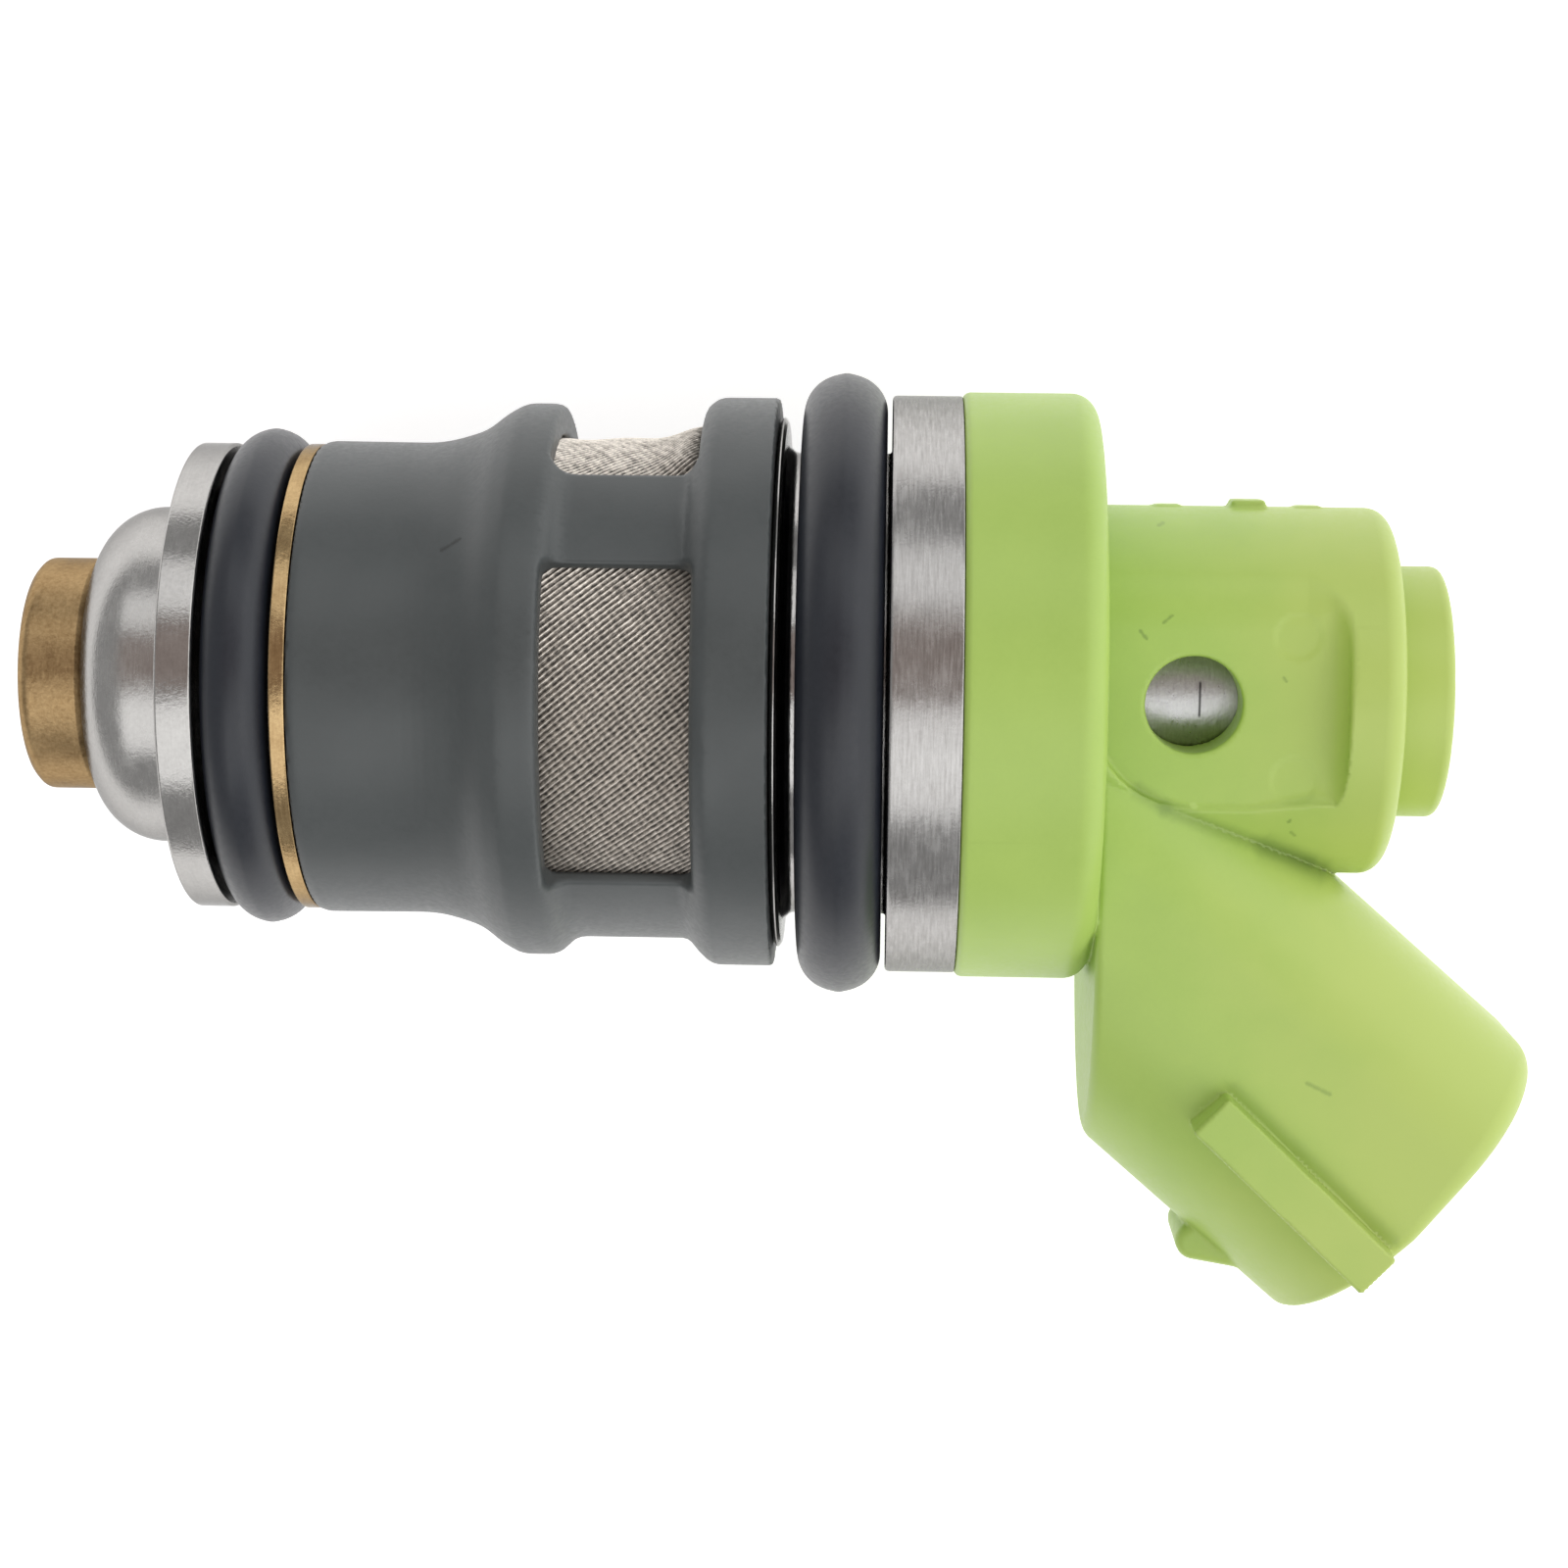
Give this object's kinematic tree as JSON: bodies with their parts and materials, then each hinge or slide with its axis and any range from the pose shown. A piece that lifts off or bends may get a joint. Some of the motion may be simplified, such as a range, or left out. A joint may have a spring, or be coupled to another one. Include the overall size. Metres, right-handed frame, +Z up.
{
  "type": "fuel injector",
  "caption": "Side-feed fuel injector: nozzle, window filter and two O-rings on a steel body, under a green moulding with an angled electrical socket.",
  "frame": {"origin": "on the injector's axis, at the nozzle-side face of the steel pilot ring (mount upper_pilot)", "axes": "+X along the injector's axis, from the nozzle to the end cap; -Y to the side the electrical socket leans to; +Z up, across the socket's plane, with the injector lying on its side"},
  "size_m": [0.0588, 0.037, 0.0242],
  "materials": {
    "brass_tip": "satin, fine sandy grain",
    "stainless": "satin",
    "nozzle_steel": "turned, bright",
    "hard_steel": "ground",
    "core_iron": "satin",
    "seal_rubber": "matte",
    "brass_ring": "satin",
    "cage_plastic": "fine moulded",
    "gauze": "woven",
    "housing_steel": "turned",
    "spool_plastic": "moulded",
    "copper": "enamelled wire",
    "core_steel": "turned",
    "spring_steel": "drawn wire",
    "brass_pin": "turned",
    "terminal_metal": "tinned",
    "green_plastic": "satin moulded"
  },
  "bodies": {
    "injector": {"nozzle_tip": "brass_tip", "orifice_plate": "stainless", "nozzle_body": "nozzle_steel", "lift_stop": "stainless", "lower_o_ring": "seal_rubber", "backup_ring": "brass_ring", "filter_cage": "cage_plastic", "filter_gauze": "gauze", "housing": "housing_steel", "upper_o_ring": "seal_rubber", "bobbin": "spool_plastic", "coil_winding": "copper", "lower_coil_seal": "seal_rubber", "upper_coil_seal": "seal_rubber", "return_plate": "core_iron", "core_tube": "core_steel", "return_spring": "spring_steel", "adjusting_pin": "brass_pin", "adjuster_o_ring": "seal_rubber", "terminal_left": "terminal_metal", "terminal_right": "terminal_metal", "top_moulding": "green_plastic"},
    "valve": {"needle": "hard_steel", "armature": "core_iron"}
  },
  "joints": [
    {"name": "needle_lift", "type": "slide", "parent": "injector", "child": "valve", "axis": [1, 0, 0], "range_m": [0, 0.00012], "stiffness_N_per_m": 2000, "deforming": ["return_spring"]}
  ]
}
